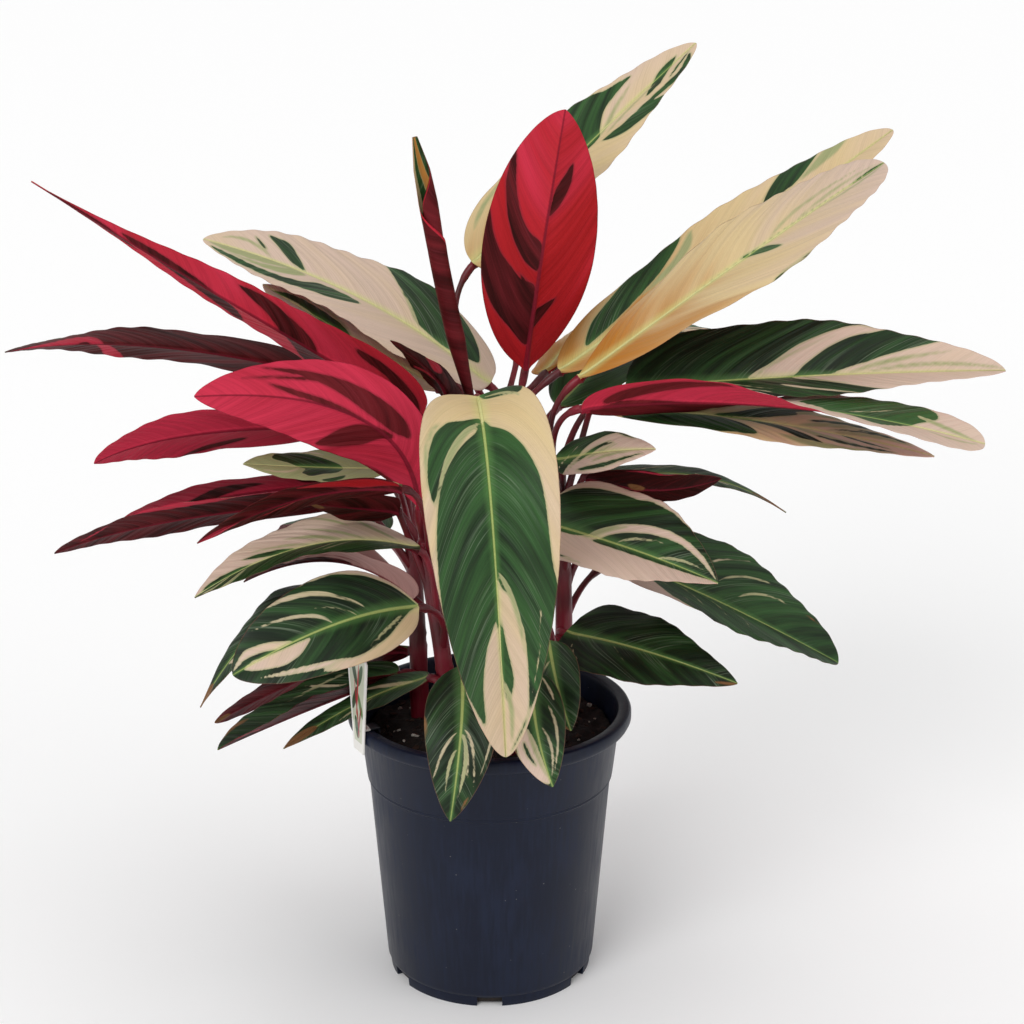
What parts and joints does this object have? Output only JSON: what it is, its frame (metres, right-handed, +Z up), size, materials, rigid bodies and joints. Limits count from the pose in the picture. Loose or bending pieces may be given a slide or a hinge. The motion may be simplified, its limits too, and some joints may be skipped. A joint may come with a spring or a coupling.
{
  "type": "potted prayer plant",
  "caption": "Leafy variegated prayer plant with green, cream and pink blades and crimson undersides, in a round nursery pot.",
  "frame": {"origin": "centre of the pot's flat underside, on the surface that the pot stands on", "axes": "+Z up along the pot's axis, -Y towards the front of the plant, +X to the right seen from the front"},
  "size_m": [0.5574, 0.3852, 0.5496],
  "materials": {
    "pot_plastic": "satin",
    "peat": "matte",
    "label_plastic": "gloss",
    "stem": "satin",
    "leaf_green": "satin",
    "leaf_variegated": "satin",
    "leaf_red_underside": "satin",
    "leaf_maroon_underside": "satin"
  },
  "bodies": {
    "root": {"pot": "pot_plastic", "soil": "peat", "label": "label_plastic", "shoot_left": "stem", "shoot_centre": "stem", "shoot_right": "stem", "shoot_back": "stem", "shoot_side": "stem", "shoot_front": "stem", "leaf_tall_back": "leaf_variegated", "leaf_upright_red": "leaf_red_underside", "leaf_pale_back": "leaf_variegated", "leaf_left_cream": "leaf_variegated", "leaf_left_cream_low": "leaf_variegated", "leaf_crown_dark": "leaf_red_underside", "leaf_long_red": "leaf_red_underside", "leaf_left_maroon": "leaf_maroon_underside", "leaf_bright_red": "leaf_red_underside", "leaf_magenta": "leaf_red_underside", "leaf_small_sage": "leaf_green", "leaf_low_maroon": "leaf_maroon_underside", "leaf_low_red_far": "leaf_red_underside", "leaf_narrow_red": "leaf_red_underside", "leaf_dark_mid": "leaf_maroon_underside", "leaf_cream_green": "leaf_variegated", "leaf_fold_behind": "leaf_variegated", "leaf_big_green_left": "leaf_green", "leaf_green_curl": "leaf_green", "leaf_dark_tip": "leaf_maroon_underside", "leaf_fold_purple": "leaf_green", "leaf_dry_low": "leaf_green", "leaf_front_big": "leaf_green", "leaf_drop_green": "leaf_green", "leaf_drop_small": "leaf_green", "leaf_dark_inner": "leaf_green", "leaf_front_right": "leaf_green", "leaf_right_low_green": "leaf_green", "leaf_right_green": "leaf_green", "leaf_right_curl": "leaf_green", "leaf_right_purple": "leaf_maroon_underside", "leaf_right_small": "leaf_green", "leaf_right_cream_front": "leaf_variegated", "leaf_right_cream_back": "leaf_variegated", "leaf_right_big": "leaf_green", "leaf_right_red_fold": "leaf_red_underside", "leaf_right_shaded": "leaf_green", "leaf_back_high": "leaf_green", "leaf_back_left": "leaf_variegated", "leaf_back_right": "leaf_green", "leaf_back_side": "leaf_red_underside", "leaf_back_mid": "leaf_green", "leaf_back_low_left": "leaf_variegated", "leaf_back_low_right": "leaf_green", "leaf_back_low": "leaf_green", "leaf_right_behind": "leaf_green", "leaf_furled": "leaf_maroon_underside"}
  },
  "joints": []
}
